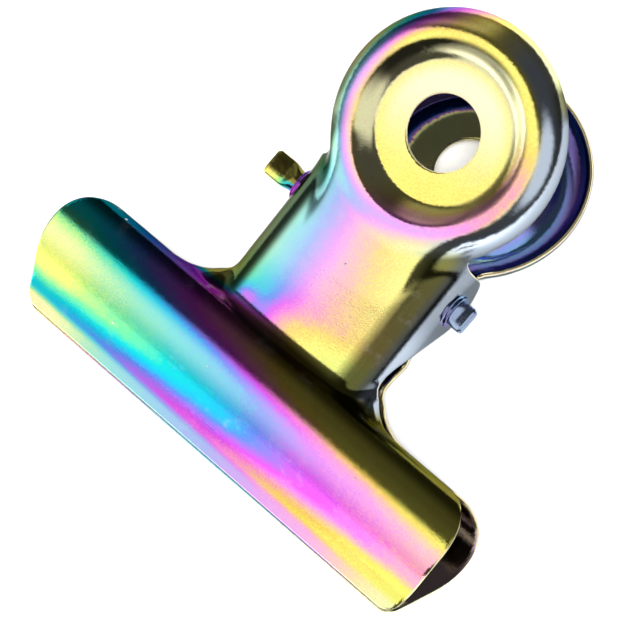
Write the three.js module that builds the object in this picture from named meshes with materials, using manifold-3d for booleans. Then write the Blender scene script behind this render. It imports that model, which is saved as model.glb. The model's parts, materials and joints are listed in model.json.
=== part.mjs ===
// Bulldog hinge clip: two pressed steel plates, the hinge pin they turn on, and the torsion
// spring wound round the pin. Millimetres, +Z up, lying on its back plate.
//
// The clip frame used while shaping: X along the pin, Y from the jaw to the handles, Z out of
// the front plate, origin on the pin. The finished clip is tipped onto its back plate at the end.
import * as THREE from "three";
import { mergeVertices } from "three/addons/utils/BufferGeometryUtils.js";
import Module from "manifold-3d";

const wasm = await Module();
wasm.setup();

// ---- driving dimensions ----
const SHEET = 0.5; // thickness of the pressed steel
const LEAN = THREE.MathUtils.degToRad(16.6); // each head leans away from the mid-plane

const HEAD_REACH = 14.47; // pin to head centre, along the leaning plate
const DISC_HEIGHT = 4.46; // outer face of the flat disc above the pin's axis
const HOLE_RADIUS = 4.06; // hanging hole
const DISC_RADIUS = 7.18; // edge of the flat, recessed disc
const RIDGE_RADIUS = 9.8; // crest of the raised ring round the disc
const RIDGE_RISE = 1.3; // crest above the disc
const RIM_RADIUS = 12.65; // outside of the turned-back rim
const RIM_DROP = 1.56; // rim's free edge below the disc

const NECK_SLOPE = THREE.MathUtils.degToRad(6.1); // crown of the neck rises towards the head
const NECK_CROWN = 5.2; // crown above the pin's axis
const NECK_CORNER = 4.0; // radius of the neck's long corners
const FRONT_HALF_WIDTH = 10.2; // the front plate's ears sit outside
const EAR_GAP = 0.5; // between an outer and an inner ear
const BACK_HALF_WIDTH = FRONT_HALF_WIDTH - SHEET - EAR_GAP;
const OUTER_EAR_RADIUS = 3.8; // rounded lobe round the pin
const INNER_EAR_RADIUS = 2.5; // small enough to turn inside the front plate's corners
const BURR_RADIUS = 1.85; // drawn collar round the pin hole of an outer ear
const BURR_HEIGHT = 0.45;
const FLANGE_EDGE = 1.6; // free edge of the flanges above the pin's axis, at the jaw end
const FLANGE_TURN_Y = -9.4; // from here the free edge curves down to the ear
const EAR_ROOT = [-5.9, 0.2];
const RIM_MEETS_EAR = 4.75; // where the ear's edge reaches the line of the rim, along the plate

const LIP_Y = -27.35;
const LIP_HALF_WIDTH = 25.5;
const BARREL_HALF_WIDTH = 27.05; // widest part of the open-ended barrel
const BARREL_WIDEST_Y = -19.5;
const SHOULDER_Y = -13.9;
const SHOULDER_CORNER = 4.45; // the shoulder's corners begin this far in from the ends

const SLIVER = 0.004; // edges shorter than this, left where cuts cross, are closed up

const PIN_RADIUS = 1.25;
const PIN_CLEARANCE = 0.08;
const PIN_LENGTH = 27.3;
const PIN_SHIFT = -1.2; // the pin has floated to one side
const CRIMP_LENGTH = 1.95; // pinched end
const CRIMP_FLARE = 0.28; // gain in width at the tip
const CRIMP_PINCH = 0.5; // loss in thickness at the tip

const WIRE_RADIUS = 0.55;
const COIL_RADIUS = 2.35; // to the middle of the wire
const COIL_PITCH = 1.25;
const COIL_FULL_TURNS = 7;
const LEG_LENGTH = 7.4;
const LEG_SPREAD = THREE.MathUtils.degToRad(21); // each leg leans out to its own plate

const X = new THREE.Vector3(1, 0, 0);
const Y = new THREE.Vector3(0, 1, 0);
const Z = new THREE.Vector3(0, 0, 1);

// ---- solids ----
function solid(geometry) {
  const shell = geometry.clone();
  shell.deleteAttribute("normal");
  shell.deleteAttribute("uv");
  const closed = mergeVertices(shell, 1e-4);
  const vertProperties = new Float32Array(closed.attributes.position.array);
  const triVerts = new Uint32Array(closed.index.array);
  return new wasm.Manifold(new wasm.Mesh({ numProp: 3, vertProperties, triVerts }));
}

function geometryOf(manifold) {
  const mesh = manifold.simplify(SLIVER).getMesh();
  const geometry = new THREE.BufferGeometry();
  geometry.setAttribute("position", new THREE.BufferAttribute(mesh.vertProperties, 3));
  geometry.setIndex(new THREE.BufferAttribute(mesh.triVerts, 1));
  geometry.computeVertexNormals();
  return geometry;
}

function extrude(shape, depth, curveSegments) {
  return new THREE.ExtrudeGeometry(shape, { depth, curveSegments, bevelEnabled: false });
}

// A (y, z) outline drawn out along X, between -reach and +reach.
function acrossX(shape, reach) {
  const geometry = extrude(shape, 2 * reach, 6);
  geometry.translate(0, 0, -reach);
  geometry.applyMatrix4(new THREE.Matrix4().makeBasis(Y, Z, X));
  return solid(geometry);
}

// An (x, z) outline drawn out along Y, from near to far.
function alongY(shape, near, far) {
  const geometry = extrude(shape, far - near, 3);
  geometry.translate(0, 0, -far);
  geometry.applyMatrix4(new THREE.Matrix4().makeBasis(X, Z, Y.clone().negate()));
  return geometry;
}

function cylinderAlongX(radius, length, segments, tipRadius = radius) {
  const geometry = new THREE.CylinderGeometry(tipRadius, radius, length, segments);
  geometry.rotateZ(-Math.PI / 2);
  return geometry;
}

// The outline of a bent sheet: points follow its outer face, and its body lies to their right.
function sheetOutline(points) {
  const inner = points.map((point, i) => {
    const before = points[Math.max(i - 1, 0)];
    const after = points[Math.min(i + 1, points.length - 1)];
    const along = after.clone().sub(before).normalize();
    return new THREE.Vector2(point.x + along.y * SHEET, point.y - along.x * SHEET);
  });
  return [...points, ...inner.reverse()];
}

// ---- head: hole, flat disc, raised ring, turned-back rim ----
function head() {
  const outer = [new THREE.Vector2(HOLE_RADIUS, DISC_HEIGHT)];
  const flank = new THREE.Path();
  flank.absellipse(
    RIDGE_RADIUS, DISC_HEIGHT, RIDGE_RADIUS - DISC_RADIUS, RIDGE_RISE, 0.92 * Math.PI, Math.PI / 2, true,
  );
  const rimFoot = DISC_HEIGHT - RIM_DROP;
  flank.absellipse(
    RIDGE_RADIUS, rimFoot, RIM_RADIUS - RIDGE_RADIUS, RIM_DROP + RIDGE_RISE, Math.PI / 2, 0, true,
  );
  outer.push(new THREE.Vector2(DISC_RADIUS, DISC_HEIGHT), ...flank.getPoints(3));
  const profile = sheetOutline(outer);
  profile.push(profile[0].clone());
  profile.reverse();
  const geometry = new THREE.LatheGeometry(profile, 36);
  geometry.rotateX(Math.PI / 2);
  geometry.translate(0, HEAD_REACH, 0);
  geometry.rotateX(LEAN);
  return solid(geometry);
}

// The drum inside the rim, where the neck gives way to the head.
function headDrum() {
  const radius = RIM_RADIUS - 0.8;
  const geometry = new THREE.CylinderGeometry(radius, radius, 24, 36);
  geometry.rotateX(Math.PI / 2);
  geometry.translate(0, HEAD_REACH, 0);
  geometry.rotateX(LEAN);
  return solid(geometry);
}

// ---- neck: a channel with a gently crowned top, rounded corners and upright flanges ----
function archOutline(halfWidth, crown, corner) {
  const crownTurn = THREE.MathUtils.degToRad(8);
  const halfChord = halfWidth - corner + corner * Math.sin(crownTurn);
  const crownRadius = halfChord / Math.sin(crownTurn);
  const cornerHeight = crown - crownRadius * (1 - Math.cos(crownTurn)) - corner * Math.cos(crownTurn);
  const foot = -9;
  const arch = new THREE.Shape();
  arch.moveTo(-halfWidth, foot);
  arch.lineTo(halfWidth, foot);
  arch.absarc(halfWidth - corner, cornerHeight, corner, 0, Math.PI / 2 - crownTurn, false);
  arch.absarc(0, crown - crownRadius, crownRadius, Math.PI / 2 - crownTurn, Math.PI / 2 + crownTurn, false);
  arch.absarc(corner - halfWidth, cornerHeight, corner, Math.PI / 2 + crownTurn, Math.PI, false);
  return arch;
}

function channel(halfWidth, near, far, inset) {
  const arch = archOutline(halfWidth - inset, NECK_CROWN - inset, NECK_CORNER - inset);
  const geometry = alongY(arch, near, far);
  geometry.rotateX(NECK_SLOPE);
  return solid(geometry);
}

// What is kept of the neck, seen from the side: all above the flanges' free edge, and the ear.
function flangeOutline(earRadius) {
  const rimHeight = DISC_HEIGHT - RIM_DROP;
  const rimLine = (along) => [
    along * Math.cos(LEAN) - rimHeight * Math.sin(LEAN),
    along * Math.sin(LEAN) + rimHeight * Math.cos(LEAN),
  ];
  const top = 14;
  const side = new THREE.Shape();
  side.moveTo(SHOULDER_Y - 1, top);
  side.lineTo(SHOULDER_Y - 1, FLANGE_EDGE);
  side.lineTo(FLANGE_TURN_Y, FLANGE_EDGE);
  side.quadraticCurveTo(-7.6, 1.4, ...EAR_ROOT);
  side.absarc(0, 0, earRadius, -0.78 * Math.PI, -0.02 * Math.PI, false);
  side.lineTo(...rimLine(RIM_MEETS_EAR));
  side.lineTo(...rimLine(10));
  side.lineTo(rimLine(10)[0], top);
  return side;
}

// ---- jaw: open-ended barrel that curves in to the lip ----
function jaw(halfWidth) {
  const outerFace = new THREE.SplineCurve([
    new THREE.Vector2(LIP_Y, SHEET + 0.15),
    new THREE.Vector2(-25.0, 2.0),
    new THREE.Vector2(-23.2, 3.7),
    new THREE.Vector2(-21.2, 5.2),
    new THREE.Vector2(-18.6, 5.95),
    new THREE.Vector2(-16.4, 5.95),
    new THREE.Vector2(-14.75, 5.0),
    new THREE.Vector2(SHOULDER_Y, 3.6),
    new THREE.Vector2(SHOULDER_Y + 0.9, 1.4),
  ]);
  const outline = new THREE.Shape(sheetOutline(outerFace.getPoints(14)));
  const barrel = acrossX(outline, BARREL_HALF_WIDTH + 1);
  return barrel.intersect(solid(jawPlan(halfWidth)));
}

function jawPlan(neckHalfWidth) {
  const shoulderEnd = BARREL_HALF_WIDTH - SHOULDER_CORNER;
  const cornerDepth = SHOULDER_Y - BARREL_WIDEST_Y;
  const throat = SHOULDER_Y + 1.4;
  const fillet = 3.4;
  const lipCorner = 1.2;
  const plan = new THREE.Shape();
  plan.moveTo(lipCorner - LIP_HALF_WIDTH, LIP_Y);
  plan.lineTo(LIP_HALF_WIDTH - lipCorner, LIP_Y);
  plan.quadraticCurveTo(LIP_HALF_WIDTH, LIP_Y, LIP_HALF_WIDTH + 0.1, LIP_Y + lipCorner);
  plan.quadraticCurveTo(BARREL_HALF_WIDTH, -22.5, BARREL_HALF_WIDTH, BARREL_WIDEST_Y);
  plan.absellipse(shoulderEnd, BARREL_WIDEST_Y, SHOULDER_CORNER, cornerDepth, 0, Math.PI / 2, false);
  plan.lineTo(neckHalfWidth + fillet, SHOULDER_Y);
  plan.quadraticCurveTo(neckHalfWidth, SHOULDER_Y, neckHalfWidth, throat);
  plan.lineTo(-neckHalfWidth, throat);
  plan.quadraticCurveTo(-neckHalfWidth, SHOULDER_Y, -neckHalfWidth - fillet, SHOULDER_Y);
  plan.lineTo(-shoulderEnd, SHOULDER_Y);
  plan.absellipse(-shoulderEnd, BARREL_WIDEST_Y, SHOULDER_CORNER, cornerDepth, Math.PI / 2, Math.PI, false);
  plan.quadraticCurveTo(-BARREL_HALF_WIDTH, -22.5, -LIP_HALF_WIDTH - 0.1, LIP_Y + lipCorner);
  plan.quadraticCurveTo(-LIP_HALF_WIDTH, LIP_Y, lipCorner - LIP_HALF_WIDTH, LIP_Y);
  const geometry = extrude(plan, 16, 3);
  geometry.translate(0, 0, -4);
  return geometry;
}

// ---- one pressed plate, front side up in the clip frame ----
function plate(halfWidth, earRadius, burred) {
  const neck = channel(halfWidth, SHOULDER_Y + 0.15, 9, 0)
    .intersect(acrossX(flangeOutline(earRadius), halfWidth + 2))
    .subtract(headDrum());
  const hollow = channel(halfWidth, SHOULDER_Y - 1, 8, SHEET);
  let sheet = head().add(neck).add(jaw(halfWidth)).subtract(hollow);
  if (burred) {
    const overlap = 0.1;
    for (const side of [-1, 1]) {
      const burr = cylinderAlongX(BURR_RADIUS, BURR_HEIGHT + overlap, 24, BURR_RADIUS - 0.15);
      burr.scale(side, 1, side);
      burr.translate(side * (halfWidth + (BURR_HEIGHT - overlap) / 2), 0, 0);
      sheet = sheet.add(solid(burr));
    }
  }
  const pinHole = cylinderAlongX(PIN_RADIUS + PIN_CLEARANCE, 4 * halfWidth, 24);
  return geometryOf(sheet.subtract(solid(pinHole)));
}

// ---- hinge pin: a plain rod, pinched flat at both ends so it cannot slip out ----
function pinchedPin() {
  const geometry = new THREE.CylinderGeometry(PIN_RADIUS, PIN_RADIUS, PIN_LENGTH, 20, 14);
  geometry.rotateZ(-Math.PI / 2);
  const position = geometry.attributes.position;
  const crimpStart = PIN_LENGTH / 2 - CRIMP_LENGTH;
  for (let i = 0; i < position.count; i++) {
    const pinch = Math.max(0, (Math.abs(position.getX(i)) - crimpStart) / CRIMP_LENGTH);
    position.setY(i, position.getY(i) * (1 + CRIMP_FLARE * pinch));
    position.setZ(i, position.getZ(i) * (1 - CRIMP_PINCH * pinch));
  }
  geometry.translate(PIN_SHIFT, 0, 0);
  return geometry;
}

// ---- torsion spring: coils round the pin, one leg against the inside of each plate ----
function springWire() {
  const pointsPerTurn = 14;
  const startAngle = Math.PI / 2 + LEG_SPREAD;
  const turning = COIL_FULL_TURNS * 2 * Math.PI + Math.PI - 2 * LEG_SPREAD;
  const coilPoints = Math.round((pointsPerTurn * turning) / (2 * Math.PI));
  const coilWidth = (COIL_PITCH * turning) / (2 * Math.PI);
  const onCoil = (fraction) => {
    const angle = startAngle + turning * fraction;
    return new THREE.Vector3(
      coilWidth * (0.5 - fraction), COIL_RADIUS * Math.cos(angle), COIL_RADIUS * Math.sin(angle),
    );
  };
  const legPoint = (root, up, along) => root.clone().add(
    new THREE.Vector3(0, along * Math.cos(LEG_SPREAD), up * along * Math.sin(LEG_SPREAD)),
  );
  const legSteps = [1, 0.66, 0.33];
  const points = legSteps.map((part) => legPoint(onCoil(0), 1, part * LEG_LENGTH));
  for (let i = 0; i <= coilPoints; i++) points.push(onCoil(i / coilPoints));
  legSteps.reverse().forEach((part) => points.push(legPoint(onCoil(1), -1, part * LEG_LENGTH)));

  const section = new THREE.Shape();
  section.absarc(0, 0, WIRE_RADIUS, 0, 2 * Math.PI, false);
  return new THREE.ExtrudeGeometry(section, {
    steps: coilPoints + 10,
    curveSegments: 4,
    bevelEnabled: false,
    extrudePath: new THREE.CatmullRomCurve3(points),
  });
}

// ---- the assembled clip ----
function part(name, geometry, colour, roughness) {
  const material = new THREE.MeshStandardMaterial({ color: colour, roughness, metalness: 1 });
  const mesh = new THREE.Mesh(geometry, material);
  mesh.name = name;
  return mesh;
}

// The angle at which the back plate rests on both its barrel and its head ring.
function restingTilt(geometry) {
  const position = geometry.attributes.position;
  const lowest = (tilt, towardsHead) => {
    let low = Infinity;
    for (let i = 0; i < position.count; i++) {
      const y = position.getY(i);
      if (y > 0 !== towardsHead) continue;
      low = Math.min(low, y * Math.sin(tilt) - position.getZ(i) * Math.cos(tilt));
    }
    return low;
  };
  let under = 0;
  let over = Math.PI / 8;
  while (over - under > 1e-6) {
    const tilt = (under + over) / 2;
    if (lowest(tilt, true) < lowest(tilt, false)) under = tilt;
    else over = tilt;
  }
  return under;
}

const frontPlate = part("front_plate", plate(FRONT_HALF_WIDTH, OUTER_EAR_RADIUS, true), 0xc9b46a, 0.12);
const backPlate = part("back_plate", plate(BACK_HALF_WIDTH, INNER_EAR_RADIUS, false), 0x3b3466, 0.12);
backPlate.rotation.y = Math.PI;
const hingePin = part("hinge_pin", pinchedPin(), 0x9aa4b4, 0.15);
const torsionSpring = part("torsion_spring", springWire(), 0x777c84, 0.25);

const clip = new THREE.Group();
clip.add(backPlate, frontPlate, hingePin, torsionSpring);
clip.rotation.x = restingTilt(backPlate.geometry);

const bulldogClip = new THREE.Group();
bulldogClip.add(clip);
const box = new THREE.Box3().setFromObject(bulldogClip, true);
clip.position.set(-(box.min.x + box.max.x) / 2, -(box.min.y + box.max.y) / 2, -box.min.z);

export default bulldogClip;
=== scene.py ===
import json
import math

import bpy
import numpy as np
from mathutils import Matrix, Vector


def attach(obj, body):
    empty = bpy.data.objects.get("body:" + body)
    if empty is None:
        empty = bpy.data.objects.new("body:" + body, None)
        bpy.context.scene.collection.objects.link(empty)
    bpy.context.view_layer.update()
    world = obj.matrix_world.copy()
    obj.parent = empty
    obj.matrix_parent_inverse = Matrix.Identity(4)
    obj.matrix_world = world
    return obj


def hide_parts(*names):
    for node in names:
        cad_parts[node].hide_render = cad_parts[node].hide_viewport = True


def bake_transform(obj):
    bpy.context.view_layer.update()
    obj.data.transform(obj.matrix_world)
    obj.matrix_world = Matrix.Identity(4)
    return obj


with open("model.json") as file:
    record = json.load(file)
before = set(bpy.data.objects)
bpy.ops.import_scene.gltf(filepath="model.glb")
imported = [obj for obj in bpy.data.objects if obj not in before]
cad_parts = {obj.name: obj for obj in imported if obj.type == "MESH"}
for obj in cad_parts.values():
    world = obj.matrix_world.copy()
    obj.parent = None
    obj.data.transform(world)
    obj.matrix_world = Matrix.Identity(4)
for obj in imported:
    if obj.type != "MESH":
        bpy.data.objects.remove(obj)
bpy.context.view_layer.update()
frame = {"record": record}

# Sizes are in millimetres in the clip frame: X along the pin, Y from the jaw to the heads, Z out
# of the front plate, origin on the pin. to_row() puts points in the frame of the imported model.
MM = 0.001
SHEET = 0.5
MESH_PITCH = 0.26

# The head leans back: a flat disc with a hole, a ring round it and a rolled rim.
LEAN = math.radians(16.6)
HEAD_REACH, DISC_HEIGHT, HOLE_RADIUS = 14.47, 4.46, 4.06
RIDGE_FOOT, RIDGE_CREST, RIM_RADIUS = 6.95, 9.8, 12.65
RIDGE_RISE, RIM_DROP, FLANK_POWER = 1.3, 1.56, 1.85
RIM_FOOT = DISC_HEIGHT - RIM_DROP

# The neck has a slightly crowned top, rounded corners and upright sides that carry the ears.
NECK_SLOPE, NECK_CROWN, NECK_CORNER, NECK_HALF_WIDTH = math.radians(6.1), 5.2, 4.0, 10.4
CROWN_TURN = math.radians(8)
NECK_FROM_HEAD, NECK_END_Y = 10.6, -14.6
FRONT_WIDTH, BACK_WIDTH = NECK_HALF_WIDTH, 9.4
OUTER_EAR, INNER_EAR = 3.8, 2.5

# The barrel jaw, widest at BARREL_WIDEST_Y and cut off at the lip and the shoulders.
LIP_Y, LIP_HALF_WIDTH, BARREL_HALF_WIDTH, BARREL_WIDEST_Y = -27.35, 25.5, 27.05, -19.5
SHOULDER_Y, SHOULDER_HEIGHT, SHOULDER_CORNER = -13.9, 3.6, 4.45
FRONT_LIP_Y, BACK_LIP_Y = LIP_Y - 0.1, LIP_Y - 0.4
FLANGE_END_Y, FLANGE_FOOT_Z = -9.4, 1.6

PIN_RADIUS, PIN_HOLE, PIN_LENGTH, PIN_SHIFT = 1.25, 1.33, 27.3, -1.2

# Distances that never win a minimum, for points where an outline or a surface doesn't count.
NO_CUT, NO_SURFACE = 9.0, 50.0

record = frame["record"]
hinge = next(j for j in record["behaviour"]["joints"] if j["name"] == "jaw_hinge")
PIN_AT = np.array(hinge["pos_m"]) / MM
disc_axis = next(m for m in record["mounts"] if m["name"] == "front_disc_face")["axis"]
TILT = math.atan2(-disc_axis[1], disc_axis[2]) - LEAN
ROW_TURN = np.array([
    [1, 0, 0],
    [0, math.cos(TILT), -math.sin(TILT)],
    [0, math.sin(TILT), math.cos(TILT)],
])


def to_row(points):
    return (np.asarray(points) @ ROW_TURN.T + PIN_AT) * MM


def direction_in_row(vector):
    return Vector(ROW_TURN @ np.array(vector, float)).normalized()


# ---- small maths ----
def step(a, b, x):
    """0 at a, 1 at b and smooth between."""
    t = np.clip((x - a) / (b - a), 0, 1)
    return t * t * (3 - 2 * t)


def soft_min(a, b, k):
    """The smaller of a and b, rounded off where they are within k of each other."""
    h = np.maximum(k - np.abs(a - b), 0) / k
    return np.minimum(a, b) - h * h * k / 4


def blended(a, b, share):
    return a * (1 - share) + b * share


def by_stops(stops, at):
    return np.interp(at, *zip(*stops))


def unit(vectors):
    return vectors / np.linalg.norm(vectors, axis=-1)[..., None]


def even_points(points, count):
    """A line through the points, cut into even parts, and the places of its new points."""
    length = np.concatenate([[0], np.cumsum(np.linalg.norm(np.diff(points, axis=0), axis=1))])
    fine = np.linspace(0, length[-1], count)
    return np.stack([np.interp(fine, length, points[:, i]) for i in (0, 1)], 1), fine


CURVE_POINTS, SPLINE_POINTS, OVERRUN = 1200, 900, 4.0
SEARCH_ROUNDS, SEARCH_PACE = 5, 0.9


class Path:
    """A smooth curve in the (y, z) plane, and the signed distance to it, positive on its left."""

    def __init__(self, points, hub, smooth=True):
        points = np.array(points, float)
        if smooth:
            points = self.spline(points)
        tangent = unit(np.gradient(points, axis=0))
        before, after = points[0] - tangent[0] * OVERRUN, points[-1] + tangent[-1] * OVERRUN
        self.at, fine = even_points(np.vstack([before, points, after]), CURVE_POINTS)
        tangent = np.gradient(self.at, axis=0)
        for _ in range(3):
            tangent[1:-1] = (tangent[:-2] + tangent[1:-1] + tangent[2:]) / 3
        self.along = unit(tangent)
        self.gap = fine[1]
        self.hub = np.array(hub, float)
        turn = np.unwrap(np.arctan2(*(self.at - self.hub).T[::-1]))
        self.sign = -1 if turn[-1] < turn[0] else 1
        self.turn = np.maximum.accumulate(self.sign * turn)

    @staticmethod
    def spline(points):
        """Natural cubic spline through the points, by chord length."""
        t = np.concatenate([[0], np.cumsum(np.linalg.norm(np.diff(points, axis=0), axis=1))])
        h, n = np.diff(t), len(points)
        chord = np.diff(points, axis=0) / h[:, None]
        system, right = np.eye(n), np.zeros((n, 2))
        for i in range(1, n - 1):
            system[i, i - 1:i + 2] = h[i - 1], 2 * (h[i - 1] + h[i]), h[i]
            right[i] = 6 * (chord[i] - chord[i - 1])
        bend = np.linalg.solve(system, right)
        fine = np.linspace(0, t[-1], SPLINE_POINTS)
        i = np.clip(np.searchsorted(t, fine) - 1, 0, n - 2)
        a, b, s = (t[i + 1] - fine)[:, None], (fine - t[i])[:, None], h[i][:, None]
        return (bend[i] * a ** 3 + bend[i + 1] * b ** 3) / (6 * s) + (
            points[i] / s - bend[i] * s / 6) * a + (points[i + 1] / s - bend[i + 1] * s / 6) * b

    def measure(self, y, z):
        """Signed distance, and how far along the curve the nearest point is."""
        y, z = np.broadcast_arrays(y, z)
        turn = np.arctan2(z - self.hub[1], y - self.hub[0])
        middle = self.sign * (self.turn[0] + self.turn[-1]) / 2
        turn = self.sign * (middle + np.mod(turn - middle + math.pi, 2 * math.pi) - math.pi)
        last = len(self.at) - 1.001
        index = np.clip(np.interp(turn, self.turn, np.arange(len(self.at))), 0, last)
        for _ in range(SEARCH_ROUNDS):
            low = index.astype(int)
            part = (index - low)[..., None]
            at = blended(self.at[low], self.at[low + 1], part)
            along = blended(self.along[low], self.along[low + 1], part)
            ahead = (y - at[..., 0]) * along[..., 0] + (z - at[..., 1]) * along[..., 1]
            index = np.clip(index + SEARCH_PACE * ahead / self.gap, 0, last)
        along = unit(along)
        away = (z - at[..., 1]) * along[..., 0] - (y - at[..., 0]) * along[..., 1]
        return away, index * self.gap - OVERRUN


# ---- the plate's outer face, as the zero of a distance in the plate's own frame ----
BARREL = Path(
    [
        (LIP_Y, SHEET + 0.15), (-26.4, 1.12), (-25.0, 2.02), (-23.2, 3.7), (-21.2, 5.27),
        (-18.6, 5.95), (-16.4, 5.78), (-14.75, 4.92), (SHOULDER_Y, SHOULDER_HEIGHT),
        (SHOULDER_Y + 0.7, 1.4),
    ],
    hub=(-19.5, -1.5),
)


def head_profile():
    """Flat disc, a soft rise to the ridge, a rounded outer flank and a short upright rim."""
    rise = np.linspace(RIDGE_FOOT, RIDGE_CREST, 24)
    face = np.stack([rise, DISC_HEIGHT + RIDGE_RISE * step(RIDGE_FOOT, RIDGE_CREST, rise)], 1)
    bend = 2 / FLANK_POWER
    turn = np.linspace(0, math.pi / 2, 30)[1:]
    flank = np.stack([
        RIDGE_CREST + (RIM_RADIUS - RIDGE_CREST) * np.sin(turn) ** bend,
        RIM_FOOT + (DISC_HEIGHT + RIDGE_RISE - RIM_FOOT) * np.cos(turn) ** bend], 1)
    disc = [(3.0, DISC_HEIGHT), (5.0, DISC_HEIGHT)]
    rim = [(RIM_RADIUS, 1.5), (RIM_RADIUS, 0.0)]
    return [*disc, *face.tolist(), *flank.tolist(), *rim]


HEAD = Path(head_profile(), hub=(8.0, 0.5), smooth=False)


def head_axes(y, z):
    """Distance up the head from the axis of its hole, and height in the head's own frame."""
    along = y * math.cos(LEAN) + z * math.sin(LEAN) - HEAD_REACH
    return along, -y * math.sin(LEAN) + z * math.cos(LEAN)


def head_gap(x, y, z):
    along, n = head_axes(y, z)
    r = np.hypot(x, along)
    # Towards the neck the outer flank falls away more gently.
    gentle = 0.4 * step(-0.35, -0.85, along / np.maximum(r, 1.0)) * step(9.2, 5.6, np.abs(x))
    r = r - gentle * np.maximum(r - RIDGE_CREST, 0)
    return HEAD.measure(r, n)[0]


def neck_half_width(y, pin_width):
    """An inner neck widens to the outer one's width past its ears."""
    to_outer = NECK_HALF_WIDTH - pin_width
    to_jaw, to_head = step(-4.4, -7.5, y), step(2.2, 5.0, y)
    return pin_width + to_outer * to_jaw + (0.3 + 0.5 * to_outer) * to_head


def neck_gap(x, y, z, pin_width):
    y2 = y * math.cos(NECK_SLOPE) + z * math.sin(NECK_SLOPE)
    z2 = -y * math.sin(NECK_SLOPE) + z * math.cos(NECK_SLOPE)
    half = neck_half_width(y2, pin_width)
    corner_x = half - NECK_CORNER
    crown_radius = (corner_x + NECK_CORNER * math.sin(CROWN_TURN)) / math.sin(CROWN_TURN)
    crown_z = NECK_CROWN - crown_radius
    corner_z = crown_z + (crown_radius - NECK_CORNER) * math.cos(CROWN_TURN)
    ax = np.sqrt(x * x + 1e-6)
    crown = np.hypot(ax, z2 - crown_z) - crown_radius
    corner = np.hypot(ax - corner_x, z2 - corner_z) - NECK_CORNER
    side = ax - half
    on_crown = ax < (z2 - crown_z) * math.tan(CROWN_TURN)
    return np.where(on_crown, crown, np.where(z2 > corner_z, corner, side))


def dent(ax, y, z, at, depth, spread):
    """A shallow round dent at a point and at its mirror image."""
    apart = (ax - at[0]) ** 2 + (y - at[1]) ** 2 + (z - at[2]) ** 2
    return depth * np.exp(-apart / spread)


FOLD_DIMPLE, FOLD_VALLEY = (9.35, -13.0, 3.35), (9.3, 4.6, 4.0)
JAW_FROM_Y = -6


def plate_gap(p, pin_width):
    x, y, z = p[..., 0], p[..., 1], p[..., 2]
    ax = np.abs(x)
    head = head_gap(x, y, z)
    neck = neck_gap(x, y, z, pin_width)
    along, _ = head_axes(y, z)
    inside_head = NECK_FROM_HEAD - np.hypot(x, along)
    neck = -soft_min(-neck, -inside_head, 1.0)
    neck = np.maximum(neck, NECK_END_Y - y)
    body = soft_min(head, neck, 2.1 + 1.1 * step(9.0, 6.0, ax))
    near_jaw = y < JAW_FROM_Y
    barrel = np.full(body.shape, NO_SURFACE)
    if near_jaw.any():
        barrel[near_jaw] = BARREL.measure(y[near_jaw], z[near_jaw])[0]
    # The crown meets the barrel in a sharp crease; the flanges flow out into the shoulders.
    flow = 1.3 + 3.6 * step(8.0, 11.4, ax) * step(4.9, 2.4, z)
    body = soft_min(body, barrel, flow)
    body = body + dent(ax, y, z, FOLD_DIMPLE, 0.1, 0.8)
    return body + dent(ax, y, z, FOLD_VALLEY, 0.3, 2.0)


# ---- where the sheet is cut, positive inside ----
def rim_line(along):
    return (
        along * math.cos(LEAN) - RIM_FOOT * math.sin(LEAN),
        along * math.sin(LEAN) + RIM_FOOT * math.cos(LEAN),
    )


def bezier(a, b, c, count=24):
    t = np.linspace(0, 1, count)[:, None]
    return np.array(a) * (1 - t) ** 2 + 2 * np.array(b) * t * (1 - t) + np.array(c) * t * t


def flange_edge(ear_radius):
    """Lower edge of the upright sides, from the jaw round the ear to the head's rim."""
    turn = np.linspace(-0.78, -0.02, 60) * math.pi
    ear = np.stack([ear_radius * np.cos(turn), ear_radius * np.sin(turn)], 1)
    flange_end = (FLANGE_END_Y, FLANGE_FOOT_Z)
    corner = np.array(rim_line(4.75))
    return np.vstack([
        [(-13.5, FLANGE_FOOT_Z), flange_end],
        bezier(flange_end, (-7.6, 1.45), (-5.9, 0.2)),
        ear,
        bezier(corner - (0, 1.6), corner, rim_line(6.2)),
        [rim_line(31)],
    ])


EDGE_POINTS, EDGE_SMOOTHING, CHUNK = 700, 12, 20000


class Edge:
    """Signed distance to a free edge in the (y, z) plane, positive on the kept side."""

    def __init__(self, points):
        self.at, _ = even_points(points, EDGE_POINTS)
        for _ in range(EDGE_SMOOTHING):
            self.at[1:-1] = (self.at[:-2] + 2 * self.at[1:-1] + self.at[2:]) / 4
        along = np.gradient(self.at, axis=0)
        self.left = unit(np.stack([-along[:, 1], along[:, 0]], 1))
        self.size = (self.at ** 2).sum(1)[None]

    def measure(self, y, z):
        out = np.empty(y.shape)
        for first in range(0, len(y), CHUNK):
            part = slice(first, first + CHUNK)
            at = np.stack([y[part], z[part]], 1)
            apart = (at ** 2).sum(1)[:, None] - 2 * at @ self.at.T + self.size
            near = np.argmin(apart, axis=1)
            out[part] = ((at - self.at[near]) * self.left[near]).sum(1)
        return out


SIDES_FROM_X = 7.5
UNDER_SHOULDER_Y, SHOULDER_MARGIN = -17, 2.3
BULGE_POWER, CORNER_POWER, CORNER_REACH = 1.8, 2.25, 4.9
LIP_ROUND, LIP_STRETCH = 1.3, 1.15


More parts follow.
